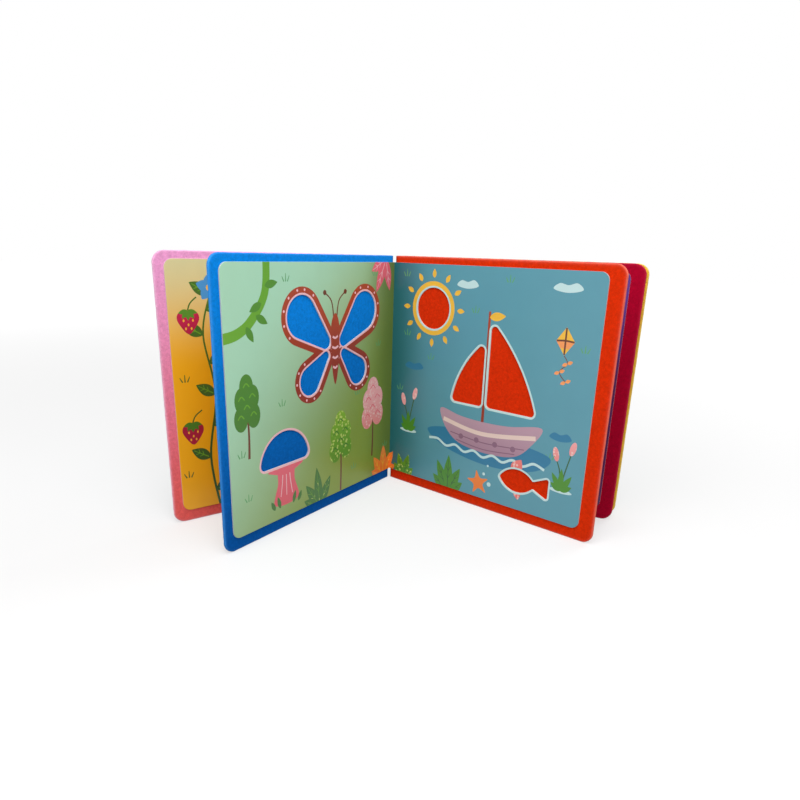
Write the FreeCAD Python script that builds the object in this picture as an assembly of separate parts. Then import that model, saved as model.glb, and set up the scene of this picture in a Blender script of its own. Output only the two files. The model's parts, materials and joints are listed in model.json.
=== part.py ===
import FreeCAD, Part
import math
import os

# A touch-and-feel board book, standing open in a V on its lower edges.
# Five felt boards each carry a printed card on both faces. Each spread is one card folded at
# the gutter, and the felt shows round the cards and through the windows cut in them.
# Lengths are in millimetres and angles in degrees. The floor is z = 0.

# Felt boards
board_height = 180.0
felt_thickness = 2.2
felt_corner_radius = 7.5
felt_setback = 0.8  # from the fold line to the inner end of each board

# Printed cards
card_reach = 171.0  # from the fold line to the card's fore edge
card_thickness = 0.9
card_corner_radius = 5.5
top_rim = 4.8
bottom_rim = 8.0
fold_web = 0.3  # what the scoring leaves of a card at its fold

# How far each board stands out past its cards at the fore edge
front_cover_fore_rim = 6.3
leaf_1_fore_rim = 6.2
leaf_2_fore_rim = 10.2
leaf_3_fore_rim = 9.1
back_cover_fore_rim = 9.8

# Wrap: the thin outer card on both covers and the spine
wrap_thickness = 0.4

# How the book stands open, seen from above
facing = 278.6  # heading of the line that halves the centre spread, anticlockwise from +X
first_opening = 19.5
centre_opening = 82.2
third_opening = 14.2
last_opening = 2.5

# How far each cover swings away from the leaf beside it
front_cover_widest = 135.0
back_cover_widest = 105.0
cover_closest = 1.0
hinge_clearance = 0.15

# Windows in the left page of the centre spread: a butterfly's wings and a toadstool's cap
wing_root = (-14.0, 26.0)  # across towards the fore edge and up, from the middle of the page
upper_wing_reach = 30.0
upper_wing_angle = 38.0
upper_wing_radius = 14.0
upper_wing_root_radius = 5.0
lower_wing_reach = 22.0
lower_wing_angle = -42.0
lower_wing_radius = 10.0
lower_wing_root_radius = 3.5
wing_root_gap = 10.0
cap_foot = (38.0, -46.0)
cap_width = 46.0
cap_rise = 23.0
cap_corner_radius = 4.0

# Windows in the right page: two sails, the sun and a fish
mast_foot = (4.0, -14.0)
sail_gap = 4.0
main_sail_width = 40.0
main_sail_height = 62.0
fore_sail_width = 27.0
fore_sail_height = 47.0
sail_belly = 5.0
sail_corner_radius = 3.0
sun_centre = (-46.0, 52.0)
sun_radius = 15.0
fish_nose = (22.0, -62.0)
fish_length = 27.0
fish_depth = 17.0
fish_tail_length = 12.0
fish_tail_depth = 16.0
fish_waist = 5.0
fish_corner_radius = 1.5

# Worked out from the sizes above
leaf_thickness = felt_thickness + 2 * card_thickness
card_height = board_height - top_rim - bottom_rim
card_middle = bottom_rim + card_height / 2
wrap_back = fold_web + wrap_thickness
hinge_gap = wrap_back * math.tan(math.radians(front_cover_widest / 2)) + hinge_clearance
diagonal = math.sqrt(0.5)


def unit(heading):
    angle = math.radians(heading)
    return FreeCAD.Vector(math.cos(angle), math.sin(angle), 0)


class Leaf:
    """A board's own frame: u runs out from the fold line, v through the leaf, z up."""

    def __init__(self, crease, heading, quarter_turn):
        self.crease = crease
        self.along = unit(heading)
        self.through = unit(heading + quarter_turn)

    def at(self, u, v, z=0.0):
        return self.crease + self.along * u + self.through * v + FreeCAD.Vector(0, 0, z)


class Page:
    """One reading face of a leaf: depth runs from that face into the leaf."""

    def __init__(self, leaf, face, inward):
        self.leaf = leaf
        self.face = face
        self.inward = leaf.through * inward
        self.crease = leaf.at(0, face)

    def at(self, u, depth, z=0.0):
        return self.crease + self.leaf.along * u + self.inward * depth + FreeCAD.Vector(0, 0, z)


def closed_face(path):
    """A face inside a closed path of points, where a pair (middle, end) is an arc."""
    edges = []
    here = path[0]
    for step in path[1:] + [path[0]]:
        if isinstance(step, tuple):
            edges.append(Part.Arc(here, step[0], step[1]).toShape())
            here = step[1]
        elif step.distanceToPoint(here) > 1e-6:
            edges.append(Part.makeLine(here, step))
            here = step
    return Part.Face(Part.Wire(edges))


def board_face(at, inner, outer, low, high, radius):
    """An upright board outline, rounded at its two fore corners; at(u, z) gives a point."""
    cut = radius * (1 - diagonal)
    return closed_face([
        at(inner, low),
        at(outer - radius, low),
        (at(outer - cut, low + cut), at(outer, low + radius)),
        at(outer, high - radius),
        (at(outer - cut, high - cut), at(outer - radius, high)),
        at(inner, high),
    ])


def upright(path):
    """A solid as tall as the cards, on a path drawn in plan at z = 0."""
    solid = closed_face(path).extrude(FreeCAD.Vector(0, 0, card_height))
    solid.translate(FreeCAD.Vector(0, 0, bottom_rim))
    return solid


def joined(first, *others):
    return first.fuse(list(others)).removeSplitter()


def felt_board(leaf, fore_rim):
    face = board_face(
        lambda u, z: leaf.at(u, card_thickness, z),
        felt_setback, card_reach + fore_rim, 0, board_height, felt_corner_radius)
    return face.extrude(leaf.through * felt_thickness)


def card_panel(at, through):
    face = board_face(at, felt_setback, card_reach, bottom_rim, board_height - top_rim, card_corner_radius)
    return face.extrude(through)


def page_panel(page):
    return card_panel(lambda u, z: page.at(u, 0, z), page.inward * card_thickness)


def folded_card(left, right, windows=()):
    """A spread that stays open: two panels and the scored, rounded fold between them."""
    back = (left.leaf.along + right.leaf.along).normalize() * -fold_web
    fold = upright([
        left.crease,
        left.at(felt_setback, 0),
        left.at(felt_setback, card_thickness),
        left.at(0, fold_web),
        (left.crease + back, right.at(0, fold_web)),
        right.at(felt_setback, card_thickness),
        right.at(felt_setback, 0),
    ])
    card = joined(page_panel(left), fold, page_panel(right))
    return card.cut(list(windows)) if windows else card


def card_with_fold_nose(page):
    """The half of a working fold that stays with the pages: its edge is rounded about the fold line."""
    nose = upright([
        page.crease,
        page.at(felt_setback, 0),
        page.at(felt_setback, card_thickness),
        page.at(0, fold_web),
        (page.at(-fold_web * diagonal, fold_web * diagonal), page.at(-fold_web, 0)),
    ])
    return joined(page_panel(page), nose)


def card_with_fold_socket(page):
    """The half of a working fold that turns with a cover: it is hollowed round the nose."""
    hollow = fold_web + hinge_clearance
    socket = upright([
        page.at(felt_setback, 0),
        page.at(felt_setback, card_thickness),
        page.at(0, hollow),
        (page.at(hollow * diagonal, hollow * diagonal), page.at(hollow, 0)),
    ])
    return joined(page_panel(page), socket)


def cover_wrap(leaf):
    """The wrap on a cover: its outer panel, bent round the board's inner end towards the hinge."""
    inner = card_thickness + felt_thickness
    outer = inner + wrap_thickness
    bend = wrap_thickness * diagonal
    panel = card_panel(lambda u, z: leaf.at(u, inner, z), leaf.through * wrap_thickness)
    turn = upright([
        leaf.at(felt_setback, inner),
        leaf.at(-fold_web, inner),
        leaf.at(-fold_web, hinge_gap),
        leaf.at(-wrap_back, hinge_gap),
        leaf.at(-wrap_back, inner),
        (leaf.at(-fold_web - bend, inner + bend), leaf.at(-fold_web, outer)),
        leaf.at(felt_setback, outer),
    ])
    return joined(panel, turn)


def behind_fold(page, other, offset):
    """Where two strips behind neighbouring leaves meet, that far behind their fold line."""
    both = page.leaf.along + other.leaf.along
    return page.crease - both * (offset / (1 + page.leaf.along.dot(other.leaf.along)))


def spine_strip(first, last, folds):
    """The wrap behind the inner leaves: it follows the fold lines that stay open."""
    end = leaf_thickness - hinge_gap
    inside = [behind_fold(left, right, fold_web) for left, right in folds]
    outside = [behind_fold(left, right, wrap_back) for left, right in reversed(folds)]
    return upright(
        [first.at(-fold_web, end)] + inside + [last.at(-fold_web, end), last.at(-wrap_back, end)]
        + outside + [first.at(-wrap_back, end)])


def window(page, path, corner_radius=0.0):
    """A cutter through a page's card; the path is in (across, up) from the middle of the page."""
    def place(point):
        return page.at(card_reach / 2 + point[0], -card_thickness, card_middle + point[1])

    steps = [tuple(place(p) for p in step) if isinstance(step[0], tuple) else place(step) for step in path]
    cutter = closed_face(steps).extrude(page.inward * (3 * card_thickness))
    if corner_radius:
        corners = [edge for edge in cutter.Edges
                   if len(edge.Vertexes) == 2 and abs(edge.tangentAt(edge.FirstParameter).dot(page.inward)) > 0.99]
        cutter = cutter.makeFillet(corner_radius, corners)
    return cutter


def polar(centre, radius, angle):
    turn = math.radians(angle)
    return (centre[0] + radius * math.cos(turn), centre[1] + radius * math.sin(turn))


def disc(centre, radius):
    left, top, right, bottom = [polar(centre, radius, angle) for angle in (180, 90, 0, 270)]
    return [left, (top, right), (bottom, left)]


def wing(root, reach, angle, root_radius, tip_radius):
    """A round-ended, widening shape: two circles and the lines that touch both."""
    tip = polar(root, reach, angle)
    lean = math.degrees(math.acos((tip_radius - root_radius) / reach))
    back = angle + 180
    return [
        polar(tip, tip_radius, back - lean),
        (polar(tip, tip_radius, angle), polar(tip, tip_radius, back + lean)),
        polar(root, root_radius, back + lean),
        (polar(root, root_radius, back), polar(root, root_radius, back - lean)),
    ]


def sail(foot, width, height):
    """A sail with its upright edge on the mast and a curved outer edge; width may be negative."""
    head = (foot[0], foot[1] + height)
    corner = (foot[0] + width, foot[1])
    length = math.hypot(width, height)
    side = math.copysign(1, width)
    belly = (
        foot[0] + width / 2 + side * sail_belly * height / length,
        foot[1] + height / 2 + sail_belly * abs(width) / length,
    )
    return [foot, corner, (belly, head)]


def toadstool_cap():
    left = (cap_foot[0] - cap_width / 2, cap_foot[1])
    right = (cap_foot[0] + cap_width / 2, cap_foot[1])
    return [left, ((cap_foot[0], cap_foot[1] + cap_rise), right)]


def fish():
    nose = fish_nose
    waist = fish_nose[0] + fish_length
    tail = waist + fish_tail_length
    middle = fish_nose[0] + fish_length / 2
    height = fish_nose[1]
    return [
        nose,
        ((middle, height + fish_depth / 2), (waist, height + fish_waist / 2)),
        (tail, height + fish_tail_depth / 2),
        (tail, height - fish_tail_depth / 2),
        (waist, height - fish_waist / 2),
        ((middle, height - fish_depth / 2), nose),
    ]


def wing_window(page, side, reach, angle, root_radius, tip_radius):
    """One wing, on the side of the body that side gives as 1 or -1."""
    rise = math.copysign(wing_root_gap / 2, angle)
    root = (wing_root[0] + side * wing_root_gap, wing_root[1] + rise)
    turned = angle if side > 0 else 180 - angle
    return window(page, wing(root, reach, turned, root_radius, tip_radius))


def left_page_windows(page):
    cutters = [window(page, toadstool_cap(), cap_corner_radius)]
    for side in (1, -1):
        cutters.append(wing_window(
            page, side, upper_wing_reach, upper_wing_angle, upper_wing_root_radius, upper_wing_radius))
        cutters.append(wing_window(
            page, side, lower_wing_reach, lower_wing_angle, lower_wing_root_radius, lower_wing_radius))
    return cutters


def right_page_windows(page):
    main_foot = (mast_foot[0] + sail_gap / 2, mast_foot[1])
    fore_foot = (mast_foot[0] - sail_gap / 2, mast_foot[1])
    return [
        window(page, sail(main_foot, main_sail_width, main_sail_height), sail_corner_radius),
        window(page, sail(fore_foot, -fore_sail_width, fore_sail_height), sail_corner_radius),
        window(page, disc(sun_centre, sun_radius)),
        window(page, fish(), fish_corner_radius),
    ]


# The leaves fan out from the centre fold; each next fold line lies at the back of the leaf before
leaf_1_heading = facing - centre_opening / 2
leaf_2_heading = facing + centre_opening / 2
leaf_1 = Leaf(FreeCAD.Vector(0, 0, 0), leaf_1_heading, -90)
leaf_2 = Leaf(FreeCAD.Vector(0, 0, 0), leaf_2_heading, 90)
leaf_3 = Leaf(leaf_2.at(0, leaf_thickness), leaf_2_heading + third_opening, 90)
front_cover = Leaf(leaf_1.at(0, leaf_thickness), leaf_1_heading - first_opening, -90)
back_cover = Leaf(leaf_3.at(0, leaf_thickness), leaf_2_heading + third_opening + last_opening, 90)

front_cover_page = Page(front_cover, 0, 1)
leaf_1_back = Page(leaf_1, leaf_thickness, -1)
centre_left = Page(leaf_1, 0, 1)
centre_right = Page(leaf_2, 0, 1)
leaf_2_back = Page(leaf_2, leaf_thickness, -1)
leaf_3_front = Page(leaf_3, 0, 1)
leaf_3_back = Page(leaf_3, leaf_thickness, -1)
back_cover_page = Page(back_cover, 0, 1)

solids = {
    "front_cover_felt": felt_board(front_cover, front_cover_fore_rim),
    "leaf_1_felt": felt_board(leaf_1, leaf_1_fore_rim),
    "leaf_2_felt": felt_board(leaf_2, leaf_2_fore_rim),
    "leaf_3_felt": felt_board(leaf_3, leaf_3_fore_rim),
    "back_cover_felt": felt_board(back_cover, back_cover_fore_rim),
    "front_cover_inner_card": card_with_fold_socket(front_cover_page),
    "leaf_1_back_card": card_with_fold_nose(leaf_1_back),
    "centre_spread_card": folded_card(
        centre_left, centre_right, left_page_windows(centre_left) + right_page_windows(centre_right)),
    "third_spread_card": folded_card(leaf_2_back, leaf_3_front),
    "leaf_3_back_card": card_with_fold_nose(leaf_3_back),
    "back_cover_inner_card": card_with_fold_socket(back_cover_page),
    "front_cover_outer_card": cover_wrap(front_cover),
    "back_cover_outer_card": cover_wrap(back_cover),
    "spine_card": spine_strip(leaf_1, leaf_3, [(centre_left, centre_right), (leaf_2_back, leaf_3_front)]),
}

# The origin is under the middle of the whole book
whole = Part.makeCompound(list(solids.values())).BoundBox
shift = FreeCAD.Vector(-whole.Center.x, -whole.Center.y, -whole.ZMin)
os.makedirs("parts", exist_ok=True)
for name, solid in solids.items():
    solid.translate(shift)
    solid.exportStep(f"parts/{name}.step")
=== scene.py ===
import json
import math

import bpy
from mathutils import Matrix, Vector, noise
from mathutils.geometry import delaunay_2d_cdt


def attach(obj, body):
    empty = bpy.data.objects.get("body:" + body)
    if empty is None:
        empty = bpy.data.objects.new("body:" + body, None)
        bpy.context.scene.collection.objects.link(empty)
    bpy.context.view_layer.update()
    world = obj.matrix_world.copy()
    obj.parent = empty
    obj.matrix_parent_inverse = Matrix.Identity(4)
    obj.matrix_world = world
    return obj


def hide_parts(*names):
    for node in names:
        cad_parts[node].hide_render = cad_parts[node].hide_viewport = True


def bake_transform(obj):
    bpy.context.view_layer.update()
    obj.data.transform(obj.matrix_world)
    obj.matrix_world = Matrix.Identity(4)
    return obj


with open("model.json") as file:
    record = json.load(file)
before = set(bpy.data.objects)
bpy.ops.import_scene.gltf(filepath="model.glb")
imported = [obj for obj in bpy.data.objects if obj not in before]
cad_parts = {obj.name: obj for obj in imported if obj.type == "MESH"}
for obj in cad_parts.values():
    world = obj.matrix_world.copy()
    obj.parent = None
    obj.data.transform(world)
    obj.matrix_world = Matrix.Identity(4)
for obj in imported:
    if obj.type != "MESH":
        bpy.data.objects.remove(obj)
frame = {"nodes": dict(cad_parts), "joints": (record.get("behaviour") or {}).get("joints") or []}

bpy.context.view_layer.update()

# Sizes of the part, in millimetres and degrees
MM = 0.001
board_height = 180.0
felt_thickness = 2.2
felt_corner_radius = 7.5
felt_setback = 0.8
card_reach = 171.0
card_thickness = 0.9
card_corner_radius = 5.5
top_rim = 4.8
bottom_rim = 8.0
fold_web = 0.3
wrap_thickness = 0.4
fore_rims = {"pink": 6.3, "blue": 6.2, "orange": 10.2, "crimson": 9.1, "yellow": 9.8}
facing = 278.6
first_opening = 19.5
centre_opening = 82.2
third_opening = 14.2
last_opening = 2.5
front_cover_widest = 135.0
hinge_clearance = 0.15
wing_root_height = 26.0  # from the middle of the page
mast_foot = (4.0, -14.0)  # from the middle of the page
leaf_thickness = felt_thickness + 2 * card_thickness
card_low = bottom_rim
card_high = board_height - top_rim
card_middle = (card_low + card_high) / 2
page_middle = card_reach / 2
hinge_gap = (fold_web + wrap_thickness) * math.tan(math.radians(front_cover_widest / 2)) + hinge_clearance
inner_face = card_thickness + felt_thickness

# Finish of the cards, in millimetres
card_edge_softness = 0.12
fold_line_gap = 0.3
first_bend_reach = 0.25
last_bend_reach = 0.02
wrap_bend_radius = 0.25
wrap_bend_steps = 5
page_unit = 100.0  # one unit of the print's own map
# How far from the fold the painted shade between the pages reaches
gutter_shade_reach = 42.0

# Cutting up the cards: tolerances in millimetres, and two settings
face_tolerance = 0.01
on_fold = 1e-6
on_path = 1e-9
cut_tolerance = 1e-4
triangles_inside = 1  # the kind of cut that keeps what lies within the outlines
sharpest_mitre = 0.5  # the least cosine that a corner's normal is divided by

# Finish of the felt, in millimetres
felt_edge_radius = 0.55
felt_grid = 1.5
felt_edge_stations = (0.0, 0.1, 0.3, 0.6, 1.1, 1.9, 2.9, 4.1, 5.4, 6.6, felt_corner_radius)
felt_edge_band = 2.0
felt_lumps = 0.05
felt_lump_size = 4.0
felt_fine_size = 1.6
felt_fine_share = 0.6
felt_edge_wander = 0.10
felt_wander_size = 3.0
felt_wander_fade = 1.2
# How far in from the outline the paler cut edge fades: partly the fibres' own look, partly a painted
# highlight
felt_fuzz_and_highlight_fade = 0.5
felt_side_swell = 0.12
felt_side_roughness = 0.06
felt_side_levels = 3


def unit(heading):
    angle = math.radians(heading)
    return Vector((math.cos(angle), math.sin(angle), 0))


class Face:
    """One face of a leaf: u runs out from its fold line, depth into the leaf and z up, in millimetres."""

    def __init__(self, crease, along, inward):
        self.crease = crease
        self.along = along
        self.inward = inward

    def at(self, u, depth, z=0.0):
        return self.crease + (self.along * u + self.inward * depth + Vector((0, 0, z))) * MM

    def flat(self, point):
        """Where a point of the frame lies by this face: (u, depth, z)."""
        away = (point - self.crease) / MM
        return away.dot(self.along), away.dot(self.inward), away.z

    def far_side(self):
        return Face(self.at(0, leaf_thickness), self.along, -self.inward)


def leaf_face(crease, heading, quarter_turn):
    return Face(crease, unit(heading), unit(heading + quarter_turn))


# Each leaf by its face on the centre spread's side, and the far sides of the three inner leaves
hinge_at = {joint["name"]: Vector(joint["pos_m"]) for joint in frame["joints"]}
front_fold = hinge_at["front_cover_hinge"]
back_fold = hinge_at["back_cover_hinge"]
leaf_1_heading = facing - centre_opening / 2
leaf_2_heading = facing + centre_opening / 2
leaf_3_heading = leaf_2_heading + third_opening
centre_fold = front_fold - unit(leaf_1_heading - 90) * leaf_thickness * MM
leaf_1 = leaf_face(centre_fold, leaf_1_heading, -90)
leaf_2 = leaf_face(centre_fold, leaf_2_heading, 90)
leaf_1_back = leaf_1.far_side()
leaf_2_back = leaf_2.far_side()
leaf_3 = leaf_face(leaf_2_back.crease, leaf_3_heading, 90)
leaf_3_back = leaf_3.far_side()
front_cover = leaf_face(front_fold, leaf_1_heading - first_opening, -90)
back_cover = leaf_face(back_fold, leaf_3_heading + last_opening, 90)


# Materials
black = (0, 0, 0)
white = (255, 255, 255)


def linear(colour):
    """An sRGB colour given as 0 to 255, as Blender's linear RGBA."""
    parts = [c / 255 for c in colour]
    return [c / 12.92 if c <= 0.04045 else ((c + 0.055) / 1.055) ** 2.4 for c in parts] + [1.0]


def toward(colour, other, share):
    return tuple(a + (b - a) * share for a, b in zip(colour, other))


def brighter(colour):
    return tuple(min(c * 1.08 + 3, 255) for c in colour)


def darker(colour):
    return toward(colour, black, 0.15)


def fill(tree, socket, value):
    """Links a socket to another, or sets it to a number or colour."""
    if isinstance(value, bpy.types.NodeSocket):
        tree.links.new(value, socket)
    else:
        socket.default_value = value


class Nodes:
    """The nodes of a material or world, with short calls to add and join them."""

    def __init__(self, owner, shader):
        owner.use_nodes = True
        self.owner = owner
        self.tree = owner.node_tree
        self.shader = self.tree.nodes[shader]

    def add(self, kind, inputs=None, **settings):
        made = self.tree.nodes.new("ShaderNode" + kind)
        for key, value in settings.items():
            setattr(made, key, value)
        for key, value in (inputs or {}).items():
            fill(self.tree, made.inputs[key], value)
        return made

    def mix(self, share, first, second):
        made = self.add("Mix", data_type="RGBA")
        for place, value in ((0, share), (6, first), (7, second)):
            fill(self.tree, made.inputs[place], value)
        return made.outputs[2]

    def math(self, operation, first, second=0.0, clamp=False):
        made = self.add("Math", {0: first, 1: second}, operation=operation, use_clamp=clamp)
        return made.outputs[0]

    def weighted(self, first, share, second, other_share):
        one, two = self.math("MULTIPLY", first, share), self.math("MULTIPLY", second, other_share)
        return self.math("ADD", one, two)

    def noise(self, where, scale, detail=3.0, distortion=0.0):
        inputs = {"Vector": where, "Scale": scale, "Detail": detail, "Distortion": distortion}
        return self.add("TexNoise", inputs).outputs["Fac"]

    def ramp(self, value, start=0.0, end=1.0, low=0.0, high=1.0, smooth=False):
        """Takes value from the range start to end over to the range low to high."""
        inputs = {"Value": value, "From Min": start, "From Max": end, "To Min": low, "To Max": high}
        kind = "SMOOTHSTEP" if smooth else "LINEAR"
        return self.add("MapRange", inputs, interpolation_type=kind).outputs["Result"]

    def bump(self, height, strength, distance):
        inputs = {"Height": height, "Strength": strength, "Distance": distance}
        return self.add("Bump", inputs).outputs["Normal"]

    def shade(self, **values):
        """Fills the shader's sockets, and gives the material or world."""
        for key, value in values.items():
            fill(self.tree, self.shader.inputs[key.replace("_", " ")], value)
        return self.owner


def material_nodes(name):
    return Nodes(bpy.data.materials.new(name), "Principled BSDF")


def felt_material(name, colour, edge_fuzz_and_highlight, low=None):
    """Pressed wool felt: mottled, with fine tangled fibres and a paler cut edge, partly the fibres' own look
    and partly a painted highlight.

    low is the felt's colour near the floor: a painted shade, darker towards the bottom of the board where
    less light falls.
    """
    low = low or colour
    n = material_nodes(name)
    where = n.add("TexCoord").outputs["Object"]
    mottle = n.noise(where, 520.0, 4.0, 0.4)
    fibre = n.noise(where, 1500.0, 4.0, 2.2)
    pill = n.noise(where, 620.0, 2.0, 1.2)
    tone = n.ramp(n.weighted(mottle, 0.45, fibre, 0.55), 0.30, 0.70)
    # Painted shade: the colour runs from low near the floor to the felt's own colour at the top of the board
    height = n.ramp(n.add("SeparateXYZ", {"Vector": where}).outputs["Z"], 0.0, board_height * MM, smooth=True)
    dark = n.mix(height, linear(darker(low)), linear(darker(colour)))
    light = n.mix(height, linear(brighter(low)), linear(brighter(colour)))
    # Paler cut edge: partly the felt's own paler fibres, partly a painted highlight where the edge catches
    # the light
    edge = n.add("Attribute", attribute_name="edge_fuzz_and_highlight").outputs["Fac"]
    pale = n.math("MULTIPLY", edge, n.math("ADD", n.math("MULTIPLY", fibre, 0.8), 0.1), clamp=True)
    relief = n.weighted(fibre, 0.6, pill, 0.5)
    return n.shade(
        Base_Color=n.mix(pale, n.mix(tone, dark, light), linear(edge_fuzz_and_highlight)),
        Roughness=n.ramp(fibre, low=0.86), Normal=n.bump(relief, 0.55, 0.0003), Specular_IOR_Level=0.06,
        Sheen_Weight=0.06, Sheen_Roughness=0.55, Sheen_Tint=linear(toward(colour, white, 0.4)))


def ink_material(name, colour, second=None, sweep=(0.0, 1.0), span=(0.0, 1.0), dots=None, dot_size=4.0,
                 gutter=None):
    """Laminated print: a thin ink with faint mottling.

    The colour may sweep to a second one along sweep, over span, both in the print's own map. It may carry
    dots, and near the fold it may turn to a darker colour: a painted shade for the shadow between the pages.
    """
    n = material_nodes(name)
    where = n.add("UVMap", uv_map="page").outputs["UV"]
    mottle = n.noise(where, 6.0, 5.0, 0.3)
    grain = n.noise(where, 220.0, 2.0)
    ink = linear(colour)
    if second:
        along = n.add("VectorMath", {0: where, 1: (sweep[0], sweep[1], 0)}, operation="DOT_PRODUCT")
        ink = n.mix(n.ramp(along.outputs["Value"], *span, smooth=True), ink, linear(second))
    if dots:
        cells = n.add("TexVoronoi", {"Vector": where, "Scale": page_unit / dot_size, "Randomness": 0.8})
        dot = n.ramp(cells.outputs["Distance"], 0.42, 0.34)
        ink = n.mix(n.math("MULTIPLY", dot, 0.75), ink, linear(dots))
    # Painted shade: the ink darkens towards the fold, standing in for the shadow between the two pages
    if gutter:
        across = n.math("ABSOLUTE", n.add("SeparateXYZ", {"Vector": where}).outputs["X"])
        near = n.ramp(across, gutter_shade_reach / page_unit, 0.0, high=0.85, smooth=True)
        ink = n.mix(near, ink, linear(gutter))
    return n.shade(
        Base_Color=n.mix(n.weighted(mottle, 0.07, grain, 0.05), ink, linear(black)),
        Roughness=n.ramp(mottle, low=0.34, high=0.46), Normal=n.bump(mottle, 0.12, 0.0002),
        Coat_Weight=0.25, Coat_Roughness=0.2)


def core_material():
    """The cut edge and back of the card: pale board with a little fibre."""
    n = material_nodes("card_core")
    where = n.add("UVMap", uv_map="page").outputs["UV"]
    fibre = n.noise(where, 160.0, 4.0, 1.0)
    colour = n.mix(fibre, linear((176, 178, 170)), linear((218, 218, 210)))
    return n.shade(Base_Color=colour, Roughness=0.75, Normal=n.bump(fibre, 0.2, 0.0001))


# Each felt's colour; the colour of its cut edge, partly its own paler fibres and partly a painted highlight;
# and, where it changes, its colour near the floor, a painted shade darker towards the bottom
felt_colours = {
    "pink": ((240, 158, 208), (250, 206, 228), (252, 100, 96)),
    "blue": ((2, 134, 230), (74, 156, 232), (0, 84, 166)),
    "orange": ((219, 45, 2), (246, 150, 130)),
    "crimson": ((172, 0, 40), (206, 60, 92)),
    "yellow": ((240, 186, 36), (250, 226, 150)),
}
felts = {name: felt_material(f"{name}_felt_wool", *colours) for name, colours in felt_colours.items()}

upwards = (0.0, 1.0)
downwards = (0.0, -1.0)
inks = {"core": core_material()}


def add_ink(name, *look, **more):
    inks[name] = ink_material(f"{name}_ink", *look, **more)


# Meadow turns from mint to olive towards the fold and the bottom, and water darkens towards the fold: each
# sweep is partly print and partly painted shade, and each colour at the fold is painted shade
add_ink("meadow", (174, 222, 190), (138, 160, 58), (0.75, -0.66), (-2.05, -0.65), gutter=(98, 118, 40))
add_ink("water", (72, 138, 150), (92, 154, 171), (1.0, 0.1), (-0.2, 0.9), gutter=(12, 98, 106))
add_ink("amber", (218, 210, 158), (246, 178, 20), downwards, (-1.8, -1.05))
# The violet is dark and darkens further towards the bottom: partly print, partly painted shade for the shadow
# in the narrow gap between the orange and crimson leaves
add_ink("violet", (84, 30, 92), (96, 58, 148), upwards, (0.9, 1.7))
add_ink("cream", (246, 232, 204), (240, 214, 170), downwards, (-1.7, -0.2))
add_ink("teal", (60, 160, 160), (40, 126, 140), downwards, (-1.7, -0.2))
add_ink("vine", (108, 172, 44), (74, 140, 36), (1.0, 0.0), (-1.7, 0.0))
add_ink("lime", (150, 196, 44), (92, 150, 30), downwards, (-0.9, -0.3), dots=(214, 228, 120), dot_size=2.6)
add_ink("leaf", (84, 146, 44), (58, 116, 36), downwards, (-1.6, -0.2))
add_ink("pine", (40, 88, 44), (66, 112, 40), upwards, (0.1, 1.5))
add_ink("tuft", (96, 166, 104))
add_ink("coral", (240, 112, 104), (248, 176, 176), upwards, (0.3, 0.8), dots=(252, 214, 206), dot_size=2.4)
add_ink("rose", (238, 104, 120), (226, 84, 96), downwards, (-0.5, 0.0))
add_ink("blush", (250, 196, 202))
add_ink("rust", (176, 68, 36), (152, 50, 26), downwards, (-1.5, -1.0))
add_ink("bark", (110, 56, 34))
add_ink("orange", (246, 126, 44), (250, 156, 90), upwards, (0.1, 0.6))
add_ink("ochre", (248, 190, 60))
add_ink("mauve", (190, 152, 168), (168, 128, 148), downwards, (-0.7, -0.4))
add_ink("plum", (140, 100, 124))
add_ink("sand", (236, 208, 198))
add_ink("wave", (44, 122, 160))
add_ink("foam", (200, 228, 228))
add_ink("berry", (70, 150, 214))
add_ink("crimson", (206, 24, 84), (166, 12, 62), downwards, (-1.6, -1.1))
add_ink("lilac", (176, 136, 202))
add_ink("mint", (150, 208, 184))


# Drawing in the plane: every shape is a list of (x, y) points, in millimetres
petal_shift = 0.85
petal_fullness = 0.9


def placed(x, y, heading, along, aside=0.0):
    """The point that lies along and aside of (x, y), as seen in the direction heading."""
    c, s = math.cos(math.radians(heading)), math.sin(math.radians(heading))
    return x + along * c - aside * s, y + along * s + aside * c


def oval(x, y, wide, high, turn=0.0, steps=40):
    angles = [2 * math.pi * k / steps for k in range(steps)]
    return [placed(x, y, turn, wide / 2 * math.cos(a), high / 2 * math.sin(a)) for a in angles]


def curve(points, closed=False, steps=8):
    """A smooth line through the points."""
    count = len(points)
    made = []
    for k in range(count if closed else count - 1):
        if closed:
            p = [points[(k + j) % count] for j in (-1, 0, 1, 2)]
        else:
            p = [points[min(max(k + j, 0), count - 1)] for j in (-1, 0, 1, 2)]
        for step in range(steps):
            t = step / steps
            weights = (
                -0.5 * t + t * t - 0.5 * t ** 3,
                1 - 2.5 * t * t + 1.5 * t ** 3,
                0.5 * t + 2 * t * t - 1.5 * t ** 3,
                -0.5 * t * t + 0.5 * t ** 3,
            )
            made.append(tuple(sum(w * q[i] for w, q in zip(weights, p)) for i in (0, 1)))
    return made if closed else made + [points[-1]]


def ribbon(points, width, end_width=None, steps=8):
    """A stroke along a smooth line, which may taper."""
    line = curve(points, steps=steps)
    end_width = width if end_width is None else end_width
    left, right = [], []
    for k, (x, y) in enumerate(line):
        before, after = line[max(k - 1, 0)], line[min(k + 1, len(line) - 1)]
        dx, dy = after[0] - before[0], after[1] - before[1]
        length = math.hypot(dx, dy) or 1.0
        half = (width + (end_width - width) * k / (len(line) - 1)) / 2
        left.append((x - dy / length * half, y + dx / length * half))
        right.append((x + dy / length * half, y - dx / length * half))
    return left + right[::-1]


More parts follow.
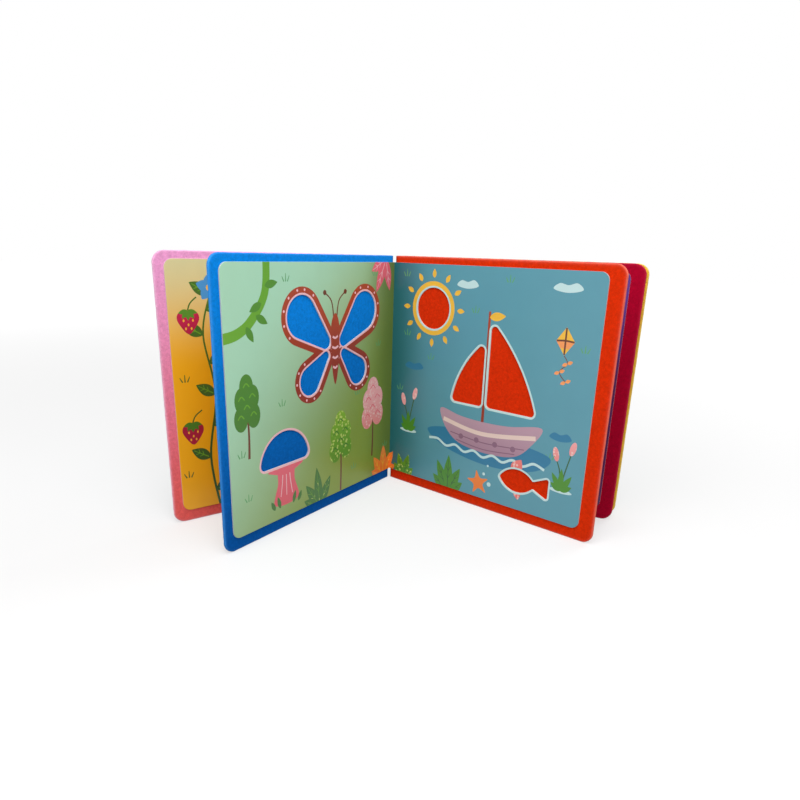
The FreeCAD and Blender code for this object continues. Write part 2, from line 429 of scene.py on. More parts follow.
def petal(x, y, length, width, heading, steps=14):
    """A leaf or petal that starts at (x, y): pointed, and widest a little before its middle."""
    made = []
    for side in (1, -1):
        for k in range(steps):
            t = k / steps if side > 0 else 1 - k / steps
            half = side * width / 2 * math.sin(math.pi * t ** petal_shift) ** petal_fullness
            made.append(placed(x, y, heading, length * t, half))
    return made


def edges_of(loop):
    return list(zip(loop, loop[1:] + loop[:1]))


def open_edges(loops):
    """The edges that no other loop follows the other way, each as start: end."""
    edges = [edge for loop in loops for edge in edges_of(loop)]
    known = set(edges)
    return {a: b for a, b in edges if (b, a) not in known}


def area(points):
    return sum(a[0] * b[1] - b[0] * a[1] for a, b in edges_of(points)) / 2


def mean_of(points):
    return tuple(sum(p[i] for p in points) / len(points) for i in (0, 1))


def box_of(points):
    """The left, low, right and high ends of a shape."""
    xs, ys = zip(*points)
    return min(xs), min(ys), max(xs), max(ys)


def grown(points, reach):
    """A closed outline moved outwards along its own normals."""
    side = 1 if area(points) > 0 else -1
    made = []
    for k, (x, y) in enumerate(points):
        before, after = points[k - 1], points[(k + 1) % len(points)]
        dx, dy = after[0] - before[0], after[1] - before[1]
        length = math.hypot(dx, dy) or 1.0
        made.append((x + side * dy / length * reach, y - side * dx / length * reach))
    return made


# Motifs: lists of (points, ink), in the order in which they are laid on each other
def moved(shapes, x, y):
    return [([(px + x, py + y) for px, py in points], ink) for points, ink in shapes]


def veined(x, y, length, width, heading, ink, vein):
    """A leaf with its midrib and two pairs of side veins."""
    def along(share, aside=0.0):
        return placed(x, y, heading, length * share, aside)

    midrib = [along(0.12), along(0.5), along(0.88)]
    made = [(petal(x, y, length, width, heading), ink), (ribbon(midrib, 0.7, 0.3, 3), vein)]
    for share in (0.38, 0.58):
        for side in (1, -1):
            side_vein = [along(share), along(share + 0.13, side * width * 0.26)]
            made.append((ribbon(side_vein, 0.5, 0.3, 3), vein))
    return made


def leaf_bunch(x, y, width, blades, ink, vein):
    """Veined leaves that spread from one foot; blades holds the (heading, length) of each."""
    return [shape for heading, length in blades for shape in veined(x, y, length, width, heading, ink, vein)]


def tufts(places, ink="tuft"):
    """Small three-bladed marks scattered over a page."""
    made = []
    for x, y in places:
        for lean, tall in ((-2.6, 3.2), (0.0, 5.0), (2.6, 3.6)):
            blade = [(x + lean * 0.6, y), (x + lean, y + tall * 0.6), (x + lean * 1.25, y + tall)]
            made.append((ribbon(blade, 0.9, 0.4, 3), ink))
    return made


def tree(x, y, wide, high, trunk, ink, light):
    """A tree with a crown of round puffs on a bare trunk."""
    stem = [(x, y), (x + 0.6, y - high / 2), (x, y - high / 2 - trunk)]
    crown = ((-0.27, -0.2), (0.27, -0.18), (-0.22, 0.1), (0.24, 0.12), (0.0, 0.3), (0.0, -0.05))
    puffs = [(x + wide * across, y + high * up) for across, up in crown]
    made = [(ribbon(stem, 1.2, 2.0, 5), "bark")]
    made += [(oval(px, py, wide * 0.58, high * 0.42, steps=24), ink) for px, py in puffs]
    for px, py in puffs:
        arc = [(px - wide * 0.13, py), (px, py + high * 0.06), (px + wide * 0.13, py)]
        made.append((ribbon(arc, 0.8, steps=4), light))
    return made


def strawberry(x, y, size, lean=0.0):
    """A berry on a short stalk, with pips and a cap of small leaves."""
    def spot(across, up):
        return x + across * size, y + up * size

    stalk = [(x + lean, y + size * 0.55), (x + lean * 0.3, y + size * 0.3), (x, y)]
    side = [(0.0, 0.02), (0.4, -0.1), (0.47, -0.4), (0.22, -0.82), (0.0, -1.0)]
    other_side = [(-across, up) for across, up in side[-2:0:-1]]
    outline = [spot(*point) for point in side + other_side]
    pips = ((-0.2, -0.42), (0.2, -0.42), (0.0, -0.34), (0.0, -0.6), (-0.12, -0.76), (0.12, -0.76))
    made = [(ribbon(stalk, 0.9, steps=4), "pine"), (curve(outline, closed=True, steps=4), "crimson")]
    made += [(oval(*spot(*pip), size * 0.08, size * 0.12, steps=8), "ochre") for pip in pips]
    made += [(petal(x, y, size * 0.42, size * 0.2, heading), "leaf") for heading in (195, 232, 270, 308, 345)]
    return made


def kite():
    """A kite with its bars, a band and a tail with bows."""
    body = [(0, 9), (6.5, 0), (0, -9), (-6.5, 0)]
    band = [(-6.5, 0), (-3.2, -4.5), (3.2, -4.5), (6.5, 0)]
    tail = [(0, -9), (3, -14), (-2, -20), (3, -26)]
    made = [(body, "ochre"), (band, "orange")]
    for bar in ([(-6.2, 0), (0, 0.5), (6.2, 0)], [(0, 8.6), (0, 0), (0, -8.6)]):
        made.append((ribbon(bar, 1.2, steps=3), "bark"))
    made.append((ribbon(tail, 0.6), "bark"))
    made += [(petal(x, y, 4, 2.4, heading), "orange") for x, y in tail[1:] for heading in (25, 205)]
    return made


def buds():
    """Two buds on thin stems among broad leaves, on a light patch."""
    made = [(oval(0, -2, 17, 3.2), "foam")]
    for side in (-1, 1):
        top = (side * 5, 22 + side * 3)
        made.append((ribbon([(0, 0), (side * 2, 12), top], 1.0, 0.8, 5), "pine"))
        made.append((oval(top[0] + side * 0.8, top[1] + 4, 4.4, 10, -side * 14), "coral"))
    for heading, length in ((150, 9), (122, 14), (92, 16), (60, 14), (30, 9)):
        made.append((petal(0, -2, length, 4.2, heading), "vine"))
    return made


def cloud(wide, ink):
    """A flat cloud, or a ripple in a darker ink."""
    outline = [(-wide / 2, 0), (-wide * 0.3, 3.6), (0, 2.6), (wide * 0.3, 4), (wide / 2, 0), (0, -2)]
    return [(curve(outline, closed=True, steps=6), ink)]


# Windows
def window_loops(node, face, side):
    """The outlines of the windows cut in a card, from the frame, as (x, y) on the opened spread."""
    mesh = frame["nodes"][node].data
    on_face = []
    for polygon in mesh.polygons:
        spots = [face.flat(mesh.vertices[i].co) for i in polygon.vertices]
        if all(abs(depth) < face_tolerance and u > -face_tolerance for u, depth, z in spots):
            on_face.append([(round(u, 3), round(z, 3)) for u, depth, z in spots])
    follow = open_edges(on_face)
    loops = []
    while follow:
        start, here = follow.popitem()
        loop = [start]
        while here != start:
            loop.append(here)
            here = follow.pop(here)
        loops.append([(side * u, z) for u, z in loop])
    loops.sort(key=lambda loop: abs(area(loop)))
    return loops[:-1]


left_windows = window_loops("centre_spread_card", leaf_1, -1)
right_windows = window_loops("centre_spread_card", leaf_2, 1)


# Pictures: (x, y) from the middle of each page, x to the reader's right
def meadow_picture():
    """Left page of the centre spread: a vine, trees, leaves and grass."""
    vine = [(-50, 90), (-52, 66), (-64, 50), (-76, 43), (-90, 41)]
    shapes = [(ribbon(vine, 5.6, 6.6), "vine")]
    for x, y, heading in ((-52, 70, 10), (-55, 60, 205), (-68, 47, 300), (-60, 53, 330)):
        shapes.append((petal(x, y, 11, 5, heading), "leaf"))
    shapes += tree(-70, 0, 19, 38, 15, "leaf", "vine")
    shapes += tree(20, -42, 23, 42, 20, "lime", "leaf")
    shapes += tree(60, -24, 25, 44, 20, "coral", "rose")
    corner_leaves = ((152, 18), (28, 18), (124, 24), (56, 24), (90, 28))
    shapes += leaf_bunch(76, -88, 9.5, corner_leaves, "orange", "ochre")
    shapes += leaf_bunch(-4, -88, 8.5, ((152, 19), (126, 25), (60, 24), (96, 31)), "leaf", "lime")
    shapes += leaf_bunch(74, 86, 9.0, ((206, 20), (284, 24), (244, 27)), "rose", "blush")
    shapes += tufts([(-34, 72), (-30, 38), (-76, -32), (-40, -6), (40, -12), (66, 22), (36, -70), (-72, -62),
                     (4, 8), (78, -62), (-24, 2), (60, 74)])
    return shapes


def butterfly_picture(windows):
    """The print round the wing windows: dotted rings, body and feelers."""
    wings = [w for w in windows if mean_of(w)[1] > card_middle]
    shapes = [(grown(w, 5.2), "rust") for w in wings]
    for w in wings:
        shapes += [(oval(x, y, 1.7, 1.7, steps=12), "blush") for x, y in grown(w, 3.3)[::4]]
    shapes += [(grown(w, 1.3), "blush") for w in wings]
    figure = []
    for side in (1, -1):
        feeler = [(side * 1.5, 20), (side * 4, 32), (side * 11, 38)]
        figure += [(ribbon(feeler, 1.2, 0.9), "bark"), (oval(*feeler[-1], 3.4, 3.4), "bark")]
    body = [(0, 24), (4.2, 17), (4.6, 4), (3.4, -14), (0, -26), (-3.4, -14), (-4.6, 4), (-4.2, 17)]
    figure.append((curve(body, closed=True), "rust"))
    for height in (8, 1, -6, -13):
        half = 3.4 - abs(height) * 0.08
        figure.append((ribbon([(-half, height), (0, height - 1.2), (half, height)], 1.5, steps=4), "blush"))
    middle = mean_of([p for w in wings for p in w])[0]
    return shapes + moved(figure, middle, card_middle + wing_root_height)


def toadstool_picture(windows):
    """The print round the cap window: a ring, a stalk and grass at its foot."""
    cap = min(windows, key=lambda w: mean_of(w)[1])
    stalk = [(-7, 1), (-8, -12), (-11, -27), (11, -27), (8, -12), (7, 1)]
    below = [(curve(stalk, closed=True), "rose")]
    for lean in (-4, 0, 4):
        below.append((ribbon([(lean * 0.8, -5), (lean, -13), (lean * 1.4, -22)], 0.8, 0.6, 4), "blush"))
    below.append((ribbon([(-16, -1), (0, -5.5), (16, -1)], 3.4), "rose"))
    grass = []
    for lean in (-16, -9, 9, 16):
        grass.append((petal(lean * 0.7, -30, 11 - abs(lean) * 0.2, 3.4, 90 - lean * 1.6), "leaf"))
    left, low, right, high = box_of(cap)
    x = (left + right) / 2
    return moved(below, x, low) + [(grown(cap, 1.5), "blush")] + moved(grass, x, low)


def harbour_picture():
    """Right page of the centre spread: clouds, a kite, plants and a starfish."""
    shapes = []
    clouds = ((60, 72, 20, "foam"), (-62, 6, 18, "wave"), (66, -24, 16, "wave"), (-16, 70, 18, "foam"))
    for x, y, wide, ink in clouds:
        shapes += moved(cloud(wide, ink), x, y)
    shapes += moved(kite(), 62, 40) + moved(buds(), -66, -44) + moved(buds(), 70, -58)
    shapes += leaf_bunch(-24, -88, 8.5, ((140, 19), (40, 18), (114, 27), (64, 25), (90, 31)), "vine", "pine")
    shapes += leaf_bunch(-70, -88, 7.5, ((134, 15), (46, 15), (106, 21), (76, 22)), "lime", "leaf")
    star = [placed(4, -72, 102 + 36 * k, 4.4 if k % 2 else 9.5) for k in range(10)]
    shapes.append((curve(star, closed=True, steps=5), "orange"))
    shapes += tufts([(-72, 74), (18, 74), (-70, 30), (-46, 14), (76, 34), (60, -40), (2, -56), (-8, 52),
                     (-76, -14)])
    return shapes


def boat_picture(windows):
    """The print round the sails, sun and fish: rings, mast, hull, rays, fins and the water."""
    sun = min(windows, key=lambda w: box_of(w)[0])
    fish = min(windows, key=lambda w: box_of(w)[1])
    sails = [w for w in windows if w is not sun and w is not fish]
    water = [(-50, -26), (-20, -20), (20, -20), (56, -25), (44, -38), (8, -43), (-30, -38)]
    hull = [(-38, -7), (-33, -21), (-20, -31), (4, -34), (28, -31), (41, -20), (48, -6), (22, -10), (0, -11),
            (-20, -10)]
    boat = [(curve(water, closed=True), "wave")]
    boat.append((ribbon([(0, -14), (0, 30), (0, 68)], 2.4, 1.8, 3), "rust"))
    boat.append((petal(0, 64, 13, 6, 8), "ochre"))
    boat.append((curve(hull, closed=True, steps=6), "mauve"))
    boat.append((ribbon([(-35, -15), (0, -20), (44, -14)], 3.2), "sand"))
    for height, share in ((-25, 0.9), (-30, 0.72)):
        plank = [(-31 * share, height + 1), (2, height - 1.5), (40 * share, height + 1)]
        boat.append((ribbon(plank, 0.8), "plum"))
    boat += [(oval(x, -25.6, 4.2, 4.2, steps=20), "plum") for x in (-18, -4, 12, 27)]
    foam = [(-48, -33)]
    for k in range(1, 13):
        foam.append((-48 + 8.4 * k, -33 + (1.6 if k % 2 else -1.6) - 3.0 * math.sin(math.pi * k / 12)))
    boat.append((ribbon(foam, 1.9, steps=6), "foam"))
    shapes = moved(boat, page_middle + mast_foot[0], card_middle + mast_foot[1])
    shapes += [(grown(w, 1.5), "foam") for w in sails]
    shapes += [(grown(sun, 4.6), "ochre"), (grown(sun, 1.3), "foam")]
    for turn in range(0, 360, 30):
        shapes.append((petal(*placed(*mean_of(sun), turn, 22), 6.5, 3.6, turn), "ochre"))
    left, low, right, high = box_of(fish)
    x, y = (left + right) / 2, (low + high) / 2
    shapes += [(petal(x - 9, y + 5, 13, 9, 62), "coral"), (petal(x - 5, y - 5, 9, 6, 282), "coral")]
    shapes.append((grown(fish, 1.4), "foam"))
    for across, up, wide in ((-28, -9, 3.4), (-33, -2, 2.4), (-30, 5, 1.7)):
        shapes.append((oval(x + across, y + up, wide, wide, steps=16), "foam"))
    return shapes


def garden_picture():
    """Inside the front cover: strawberry plants."""
    shapes = []
    for foot, bend in ((-58, -6), (8, 6), (64, -6)):
        stem = [(foot, -92), (foot + bend, -48), (foot, -4), (foot + bend, 36), (foot, 62)]
        shapes.append((ribbon(stem, 1.8, 1.0), "pine"))
        for k, (x, y) in enumerate(curve(stem, steps=2)[1:]):
            shapes += veined(x, y, 15, 8, 150 if k % 2 else 30, "pine", "vine")
        for across, y in ((-15, 52), (17, 22), (-17, -22), (15, -44)):
            shapes += strawberry(foot + across, y, 15, -across * 0.4)
        shapes += [(petal(foot, 66, 9, 7, 72 * k + 18), "berry") for k in range(5)]
        shapes.append((oval(foot, 66, 4.4, 4.4, steps=16), "ochre"))
    shapes += tufts([(-78, 6), (-34, 70), (-26, -8), (34, 70), (38, -12), (-80, -60), (-30, -76), (36, -72)],
                    "pine")
    return shapes


def rows_of(count, gap, shift):
    """The places of an all-over print in rows: (row, column, x, y), each row shifted against the next."""
    middle = (count - 1) / 2
    return [(r, c, (c - middle) * gap + (shift if r % 2 else -shift), (r - middle) * gap)
            for r in range(count) for c in range(count)]


def dot_rows(ink, size, second, gap=27):
    """A plain all-over print of dots in two sizes."""
    shapes = []
    for r, c, x, y in rows_of(6, gap, gap / 4):
        wide, name = (size * 0.5, second) if (r + c) % 2 else (size, ink)
        shapes.append((oval(x, y, wide, wide, steps=24), name))
    return shapes


def leaf_rows(ink, second):
    """A plain all-over print of small leaf pairs."""
    shapes = []
    for r, c, x, y in rows_of(5, 31, 7):
        turn = 35 * ((2 * r + 3 * c) % 5)
        shapes += [(petal(x, y, 12, 6, turn), ink), (petal(x, y, 12, 6, turn + 70), second)]
    return shapes


# Cards
def add_object(name, data):
    made = bpy.data.objects.new(name, data)
    bpy.context.scene.collection.objects.link(made)
    return made


def rounded_outline(left, right, low, high, radius, round_left=True, round_right=True, steps=10):
    """An upright rectangle as points, with its chosen sides' corners rounded."""
    made = []
    corners = ((right, low, -90, round_right), (right, high, 0, round_right), (left, high, 90, round_left),
               (left, low, 180, round_left))
    for x, y, start, is_round in corners:
        if not is_round:
            made.append((x, y))
            continue
        cx = x - radius if x == right else x + radius
        cy = y - radius if y == high else y + radius
        made += [placed(cx, cy, start + 90 * k / steps, radius) for k in range(steps + 1)]
    return made


def cut_up(outline, windows, shapes, grounds, fold_lines):
    """Cuts a flat sheet along its windows, shapes and fold lines.

    Gives its points, its triangles and the name of each triangle's ink: the topmost shape's, or where there
    is none the one that grounds(x) names.
    """
    points = []

    def put(loop):
        start = len(points)
        points.extend(Vector(p) for p in (loop if len(loop) < 3 or area(loop) > 0 else loop[::-1]))
        return list(range(start, len(points)))

    loops = [outline] + windows + [loop for loop, ink in shapes]
    faces = [put(loop) for loop in loops]
    lines = [tuple(put([(x, card_low), (x, card_high)])) for x in fold_lines]
    flat, _, triangles, _, _, owners = delaunay_2d_cdt(
        points, lines, faces, triangles_inside, cut_tolerance, True)
    first_shape = 1 + len(windows)
    holes = set(range(1, first_shape))
    inside, colours = [], []
    for triangle, owner in zip(triangles, owners):
        if 0 not in owner or holes.intersection(owner):
            continue
        top = max(owner)
        middle = sum(flat[i].x for i in triangle) / len(triangle)
        inside.append(list(triangle))
        colours.append(shapes[top - first_shape][1] if top >= first_shape else grounds(middle))
    return flat, inside, colours


def printed_sheet(name, outline, windows, shapes, grounds, place, thickness, fold_lines):
    """A closed card, its front cut up along the printed shapes, each face in its own ink.

    place(x, y, share) gives a point of the frame; share runs from 0 at the print to 1 at the back.
    """
    flat, inside, colours = cut_up(outline, windows, shapes, grounds, fold_lines)
    names = list(dict.fromkeys(colours)) + ["core"]
    core = len(names) - 1
    colours = [names.index(ink) for ink in colours]
    rim = open_edges(inside)
    back_of = {b: a for a, b in rim.items()}
    at, where, front, back, lip = [], [], {}, {}, {}

    def vertex(x, y, share):
        at.append(place(x, y, share))
        where.append((x, y))
        return len(at) - 1

    for i in sorted({i for face in inside for i in face}):
        x, y = flat[i]
        if i in rim:
            ahead = (flat[i] - flat[back_of[i]]).normalized() + (flat[rim[i]] - flat[i]).normalized()
            out = Vector((ahead.y, -ahead.x)).normalized() * card_edge_softness
            front[i] = vertex(x - out.x, y - out.y, 0.0)
            lip[i] = vertex(x, y, card_edge_softness / thickness)
        else:
            front[i] = vertex(x, y, 0.0)
        back[i] = vertex(x, y, 1.0)
    made, paint, paint_at = [], [], {}
    for face, colour in zip(inside, colours):
        made += [[front[i] for i in face], [back[i] for i in reversed(face)]]
        paint += [colour, core]
        paint_at.update((edge, colour) for edge in edges_of(face))
    for a, b in rim.items():
        made += [[front[b], front[a], lip[a], lip[b]], [lip[b], lip[a], back[a], back[b]]]
        paint += [paint_at[a, b], core]
    mesh = bpy.data.meshes.new(name)
    mesh.from_pydata([tuple(p) for p in at], [], made)
    for ink in names:
        mesh.materials.append(inks[ink])
    mesh.polygons.foreach_set("material_index", paint)
    layer = mesh.uv_layers.new(name="page")
    for loop in mesh.loops:
        x, y = where[loop.vertex_index]
        layer.data[loop.index].uv = (x / page_unit, y / page_unit)
    mesh.validate()
    mesh.update()
    return faced_outwards(add_object(name, mesh))


def faced_outwards(piece):
    """Turns the faces of a closed piece round if they look inwards."""
    mesh = piece.data
    volume = 0.0
    for face in mesh.polygons:
        corners = [mesh.vertices[i].co for i in face.vertices]
        for k in range(1, len(corners) - 1):
            volume += corners[0].dot(corners[k].cross(corners[k + 1]))
    if volume < 0:
        mesh.flip_normals()
        mesh.update()
    return piece


def spread(name, left, right, shapes, windows, left_ink, right_ink):
    """Two pages printed on one card, folded at x = 0. shapes hold (x, y) on the opened card."""
    backwards = (left.along + right.along).normalized() * -1

    def place(x, y, share):
        page = left if x < 0 else right
        u = abs(x)
        if u < on_fold:
            return page.crease + (backwards * fold_web * share + Vector((0, 0, y))) * MM
        deep = fold_web + (card_thickness - fold_web) * min(u / felt_setback, 1.0)
        return page.at(u, deep * share, y)

    def ground(x):
        return left_ink if x < 0 else right_ink

    outline = rounded_outline(-card_reach, card_reach, card_low, card_high, card_corner_radius)
    fold_lines = (-felt_setback, -fold_line_gap, 0.0, fold_line_gap, felt_setback)
    return printed_sheet(name, outline, windows, shapes, ground, place, card_thickness, fold_lines)


def on_pages(left_shapes, right_shapes):
    return moved(left_shapes, -page_middle, card_middle) + moved(right_shapes, page_middle, card_middle)


centre_shapes = on_pages(meadow_picture(), harbour_picture())
centre_shapes += butterfly_picture(left_windows) + toadstool_picture(left_windows)
centre_shapes += boat_picture(right_windows)
centre_windows = left_windows + right_windows
centre = spread("centre_spread", leaf_1, leaf_2, centre_shapes, centre_windows, "meadow", "water")
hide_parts("centre_spread_card")
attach(centre, "pages")

first_shapes = on_pages(garden_picture(), leaf_rows("orange", "pine"))
first = spread("first_spread", front_cover, leaf_1_back, first_shapes, [], "amber", "amber")
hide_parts("front_cover_inner_card", "leaf_1_back_card")

third_shapes = on_pages(dot_rows("lilac", 11, "blush"), dot_rows("lilac", 11, "blush"))
third = spread("third_spread", leaf_2_back, leaf_3, third_shapes, [], "violet", "violet")
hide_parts("third_spread_card")
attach(third, "pages")

last_shapes = on_pages(leaf_rows("mint", "coral"), leaf_rows("coral", "mint"))
last = spread("last_spread", leaf_3_back, back_cover, last_shapes, [], "cream", "cream")
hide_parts("leaf_3_back_card", "back_cover_inner_card")


# The wrap: one thin card round both covers and the spine, in two halves that meet behind the centre fold
def rounded_corner(before, corner, after, radius):
    """Points round a corner of a path in plan."""
    to_before, to_after = (before - corner).normalized(), (after - corner).normalized()
    half = to_before.angle(to_after) / 2
    reach = radius / math.tan(half)
    start, end = corner + to_before * reach, corner + to_after * reach
    centre = corner + (to_before + to_after).normalized() * radius / math.sin(half)
    made = []
    for k in range(wrap_bend_steps + 1):
        share = start.lerp(end, k / wrap_bend_steps) - centre
        made.append(centre + share.normalized() * radius)
    return made


def wrap_half(name, path, side, shapes, ground):
    """A half of the wrap, which lies to the side of its path.

    path runs in plan along the wrap's inner face, from the cover's fore edge to behind the centre fold.
    """
    runs = [b - a for a, b in zip(path, path[1:])]
    lengths = [0.0]
    for run in runs:
        lengths.append(lengths[-1] + run.length / MM)
    normals = []
    for before, after in zip(runs[:1] + runs, runs + runs[-1:]):
        one, two = [Vector((run.y, -run.x, 0)).normalized() * side for run in (before, after)]
        normals.append((one + two).normalized() / max(math.cos(one.angle(two) / 2), sharpest_mitre))

    def place(x, y, share):
        x = min(max(x, 0.0), lengths[-1])
        k = max(i for i in range(len(runs)) if lengths[i] <= x + on_path)
        t = (x - lengths[k]) / (lengths[k + 1] - lengths[k])
        out = normals[k].lerp(normals[k + 1], t)
        return path[k].lerp(path[k + 1], t) + (out * wrap_thickness * (1 - share) + Vector((0, 0, y))) * MM

    outline = rounded_outline(0.0, lengths[-1], card_low, card_high, card_corner_radius, True, False)
    return printed_sheet(name, outline, [], moved(shapes, page_middle, card_middle), lambda x: ground, place,
                         wrap_thickness, lengths[1:-1])


def split_line(start, end):
    return [start.lerp(end, k / wrap_bend_steps) for k in range(1, wrap_bend_steps)]


def short_of(start, end, distance):
    """The point between start and end at a distance from start, in millimetres."""
    return start.lerp(end, distance / ((end - start).length / MM))


def behind_fold(page, other):
    """Where the backs of two pages' card meet, in plan."""
    both = page.along + other.along
    return page.crease - both * (fold_web / (1 + page.along.dot(other.along))) * MM


def cover_path(cover, hinge_back, spine_side):
    """From the cover's fore edge, along its outer face and round its inner end to the hinge, then on."""
    fore = cover.at(card_reach, inner_face)
    corner = cover.at(-fold_web, inner_face)
    path = [fore, cover.at(card_reach / 2, inner_face)]
    path += rounded_corner(fore, corner, hinge_back, wrap_bend_radius * MM)
    gap_start = short_of(hinge_back, corner, hinge_gap)
    gap_end = short_of(hinge_back, spine_side, hinge_gap)
    path += [gap_start] + split_line(gap_start, hinge_back) + [hinge_back]
    path += split_line(hinge_back, gap_end) + [gap_end]
    return path


front_hinge_back = behind_fold(front_cover, leaf_1_back)
back_hinge_back = behind_fold(leaf_3_back, back_cover)
centre_back = behind_fold(leaf_1, leaf_2)
third_back = behind_fold(leaf_2_back, leaf_3)
front_path = cover_path(front_cover, front_hinge_back, centre_back) + [centre_back]
back_path = cover_path(back_cover, back_hinge_back, third_back) + [third_back, centre_back]
front_wrap = wrap_half("front_wrap", front_path, -1, leaf_rows("mint", "ochre"), "teal")
back_wrap = wrap_half("back_wrap", back_path, 1, dot_rows("mint", 10, "ochre"), "teal")
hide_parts("front_cover_outer_card")
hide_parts("back_cover_outer_card", "spine_card")


def across_fold(page, cover):
    """The direction at a fold from the pages' side to the cover's side."""
    halving = (page.along + cover.along).normalized()
    return (cover.along - halving * cover.along.dot(halving)).normalized()


def bend_at_hinge(piece, at, direction, reach):
    start, end = at - direction * reach * MM, at + direction * reach * MM
    tuple(start)
    tuple(end)
    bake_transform(piece)


front_across = across_fold(leaf_1_back, front_cover)
back_across = across_fold(leaf_3_back, back_cover)
bend_at_hinge(first, front_fold, front_across, first_bend_reach)
bend_at_hinge(last, back_fold, back_across, last_bend_reach)
bend_at_hinge(front_wrap, front_fold, front_across, hinge_gap)
bend_at_hinge(back_wrap, back_fold, back_across, hinge_gap)


# Felt boards
def stations(low, high, fine_low=True):
    """Grid lines from low to high, closer together at the high end, and at the low one if it is fine."""
    start = [low + d for d in felt_edge_stations] if fine_low else [low]
    end = [high - d for d in reversed(felt_edge_stations)]
    span = end[0] - start[-1]
    count = round(span / felt_grid)
    return start + [start[-1] + span * k / count for k in range(1, count)] + end


def felt_board(name, leaf, material, body, node):
    """A felt board with softened, slightly wandering edges and a faintly lumpy face."""
    outer = card_reach + fore_rims[name]
    radius = felt_corner_radius
    rows = stations(0.0, board_height)
    shares = [(u - felt_setback) / (outer - felt_setback) for u in stations(felt_setback, outer, False)]
    last_row, last_column = len(rows) - 1, len(shares) - 1
    seed = 10.0 * sum(ord(c) for c in name)
    at, edge_fuzz_and_highlight, faces, grid = [], [], [], {}

    def reach(z):
        inset = max(radius - z, radius - (board_height - z), 0.0)
        return outer - radius + math.sqrt(max(radius * radius - inset * inset, 0.0))

    def from_edge(u, z):
        """How far a point lies inside the outline."""
        corner_z = min(max(z, radius), board_height - radius)
        if u > outer - radius and corner_z != z:
            return radius - math.hypot(u - (outer - radius), z - corner_z)
        return min(z, board_height - z, outer - u)

    def on_face(side, u, z):
        """A point of a face: lumpy, and rounded and wandering near the outline.

        The last coordinate that each noise is given only sets it apart from the others.
        """
        inside = max(from_edge(u, z), 0.0)
        lump = noise.noise(Vector((u / felt_lump_size + seed, z / felt_lump_size, side * 7.0)))
        fine = noise.noise(Vector((u / felt_fine_size, z / felt_fine_size + seed, side * 3.0)))
        wander = noise.noise(Vector((u / felt_wander_size + seed, z / felt_wander_size, 1.5)))
        wander *= felt_edge_wander * math.exp(-inside / felt_wander_fade)
        gap = max(felt_edge_radius - inside, 0.0)
        drop = felt_edge_radius - math.sqrt(felt_edge_radius ** 2 - gap ** 2)
        depth = drop - (lump + felt_fine_share * fine) * felt_lumps
        out_u = 1.0 if outer - u < felt_edge_band else 0.0
        out_z = math.copysign(1.0, z - board_height / 2) if min(z, board_height - z) < felt_edge_band else 0.0
        v = card_thickness + depth if side == 0 else leaf_thickness - card_thickness - depth
        # The paler cut edge fades in towards the outline: partly the fibres' own look, partly a painted
        # highlight
        edge_fuzz_and_highlight.append(math.exp(-inside / felt_fuzz_and_highlight_fade))
        return leaf.at(u + out_u * wander, v, max(z + out_z * wander, 0.0))

    for side in (0, 1):
        for r, z in enumerate(rows):
            for c, share in enumerate(shares):
                grid[side, r, c] = len(at)
                at.append(on_face(side, felt_setback + (reach(z) - felt_setback) * share, z))
    for r in range(last_row):
        for c in range(last_column):
            faces.append([grid[0, r, c], grid[0, r, c + 1], grid[0, r + 1, c + 1], grid[0, r + 1, c]])
            faces.append([grid[1, r, c], grid[1, r + 1, c], grid[1, r + 1, c + 1], grid[1, r, c + 1]])
    rim = [(0, c) for c in range(last_column)] + [(r, last_column) for r in range(last_row)]
    rim += [(last_row, c) for c in range(last_column, 0, -1)] + [(r, 0) for r in range(last_row, 0, -1)]
    # The cut side of the felt swells a little between its two faces, apart from the side in the spine
    columns = []
    for k, (r, c) in enumerate(rim):
        a, b = at[grid[0, r, c]], at[grid[1, r, c]]
        out = leaf.along * int(c == last_column) + Vector((0, 0, int(r == last_row) - int(r == 0)))
        if c == 0:
            out = Vector((0, 0, 0))
        column = [grid[0, r, c]]
        for level in range(1, felt_side_levels + 1):
            share = level / (felt_side_levels + 1)
            rough = noise.noise(Vector((k * 0.9 + seed, share * 3, 5.0))) * felt_side_roughness
            swell = (felt_side_swell * math.sin(math.pi * share) + rough) * MM
            point = a.lerp(b, share) + out.normalized() * swell
            point.z = max(point.z, 0.0)
            column.append(len(at))
            at.append(point)
            # The cut side takes the paler edge colour in full: partly its fibres' own look, partly a painted
            # highlight
            edge_fuzz_and_highlight.append(1.0)
        columns.append(column + [grid[1, r, c]])
    for one, two in edges_of(columns):
        for level in range(felt_side_levels + 1):
            faces.append([one[level], one[level + 1], two[level + 1], two[level]])
    mesh = bpy.data.meshes.new(f"{name}_board")
    mesh.from_pydata([tuple(p) for p in at], [], faces)
    mesh.materials.append(material)
    mesh.attributes.new("edge_fuzz_and_highlight", "FLOAT", "POINT").data.foreach_set("value", edge_fuzz_and_highlight)
    mesh.polygons.foreach_set("use_smooth", [True] * len(mesh.polygons))
    mesh.update()
    piece = faced_outwards(add_object(f"{name}_board", mesh))
    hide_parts(node)
    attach(piece, body)


for name, leaf, body, node in (
        ("pink", front_cover, "front_cover", "front_cover_felt"),
        ("blue", leaf_1, "pages", "leaf_1_felt"),
        ("orange", leaf_2, "pages", "leaf_2_felt"),
        ("crimson", leaf_3, "pages", "leaf_3_felt"),
        ("yellow", back_cover, "back_cover", "back_cover_felt")):
    felt_board(name, leaf, felts[name], body, node)


# Floor, lights and camera, in metres and watts
floor_reach = 6.0
floor_drop = 0.0002
glow_near = 0.25
glow_far = 1.6


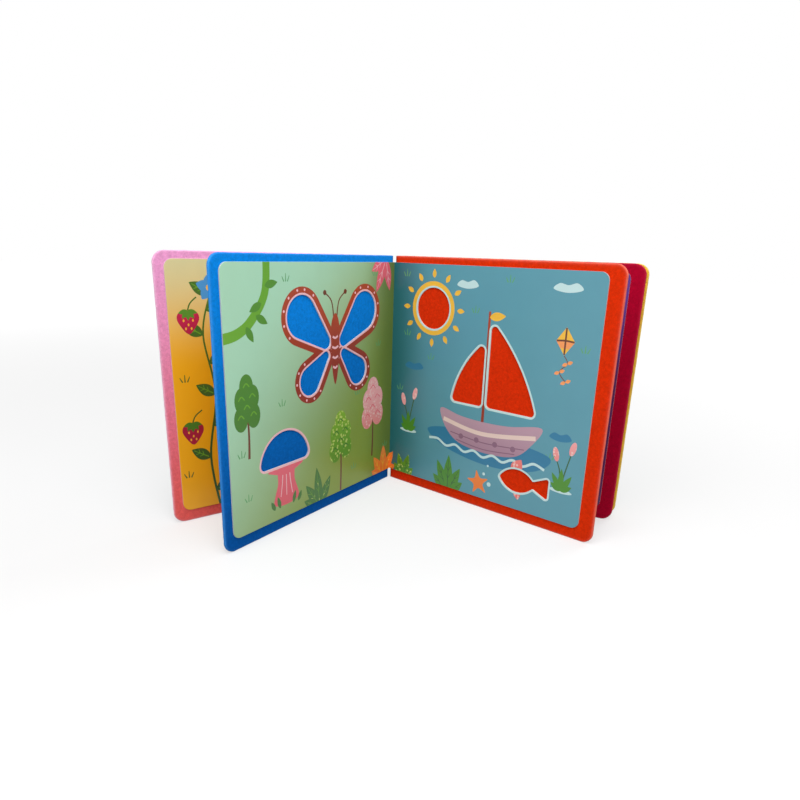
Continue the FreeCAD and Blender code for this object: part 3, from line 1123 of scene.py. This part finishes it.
def stage_material(name, near_glow, far_glow, lit):
    """White to the camera, with the object's shadow on it, and a plain pale grey to everything else."""
    n = material_nodes(name)
    rays = n.add("LightPath").outputs
    direct = n.math("MAXIMUM", rays["Is Camera Ray"], rays["Is Glossy Ray"])
    direct = n.math("MAXIMUM", direct, rays["Is Transmission Ray"])
    where = n.add("TexCoord").outputs["Object"]
    tone = n.ramp(n.noise(where, 3.0, 2.0), low=lit - 0.01, high=lit + 0.01)
    colour = n.add("CombineColor", {0: tone, 1: tone, 2: tone}).outputs[0]
    away = n.add("VectorMath", {0: where}, operation="LENGTH").outputs["Value"]
    glow = n.math("MULTIPLY", direct, n.ramp(away, glow_near, glow_far, near_glow, far_glow))
    return n.shade(Base_Color=colour, Roughness=1.0, Specular_IOR_Level=0.0, Emission_Color=(1, 1, 1, 1),
                   Emission_Strength=glow)


ring = [(x, y, 0.0) for x, y in oval(0, 0, 2 * floor_reach, 2 * floor_reach, steps=60)]
floor_mesh = bpy.data.meshes.new("floor")
floor_mesh.from_pydata(ring, [], [list(range(len(ring)))])
floor_mesh.materials.append(stage_material("floor_paper", 0.52, 0.88, 0.42))
floor = add_object("floor", floor_mesh)
floor.location.z = -floor_drop

sky = Nodes(bpy.data.worlds.new("studio"), "Background")
sky_rays = sky.add("LightPath").outputs
seen = sky.math("MAXIMUM", sky_rays["Is Camera Ray"], sky_rays["Is Transmission Ray"])
bpy.context.scene.world = sky.shade(Color=(1, 1, 1, 1), Strength=sky.ramp(seen, low=0.38, high=1.0))


def soft_lamp(name, place, size, watts, aim=(0.0, 0.0, 0.09)):
    lamp = bpy.data.lights.new(name, "AREA")
    lamp.shape = "DISK"
    lamp.size = size
    lamp.energy = watts
    made = add_object(name, lamp)
    made.location = place
    made.rotation_euler = (Vector(aim) - Vector(place)).to_track_quat("-Z", "Y").to_euler()


soft_lamp("overhead", (0.0, -0.30, 0.62), 0.5, 2.5, (0.0, -0.02, 0.12))
soft_lamp("key", (0.30, -1.1, 0.95), 0.9, 5.6)
soft_lamp("fill", (-0.9, -0.8, 0.8), 0.9, 3.4)
soft_lamp("rim", (0.9, 0.6, 0.9), 0.8, 5.0)

camera_at = Vector((-0.96, -418.31, 183.32)) * MM
camera_yaw = math.radians(-0.78)
camera_pitch = math.radians(-17.56)
camera_roll = math.radians(1.71)
ahead = Vector((math.sin(camera_yaw) * math.cos(camera_pitch), math.cos(camera_yaw) * math.cos(camera_pitch),
                math.sin(camera_pitch)))
level_right = Vector((math.cos(camera_yaw), -math.sin(camera_yaw), 0))
level_up = level_right.cross(ahead)
right = level_right * math.cos(camera_roll) + level_up * math.sin(camera_roll)
up = level_up * math.cos(camera_roll) - level_right * math.sin(camera_roll)
camera_data = bpy.data.cameras.new("camera")
camera_data.sensor_width = 36.0
camera_data.lens = 27.48
camera_data.shift_x = 0.0046
camera_data.shift_y = 0.0556
camera_data.clip_start = 0.01
camera = add_object("camera", camera_data)
camera.matrix_world = Matrix.Translation(camera_at) @ Matrix((right, up, -ahead)).transposed().to_4x4()
bpy.context.scene.camera = camera
bpy.context.scene.view_settings.view_transform = "Standard"

bpy.context.view_layer.update()
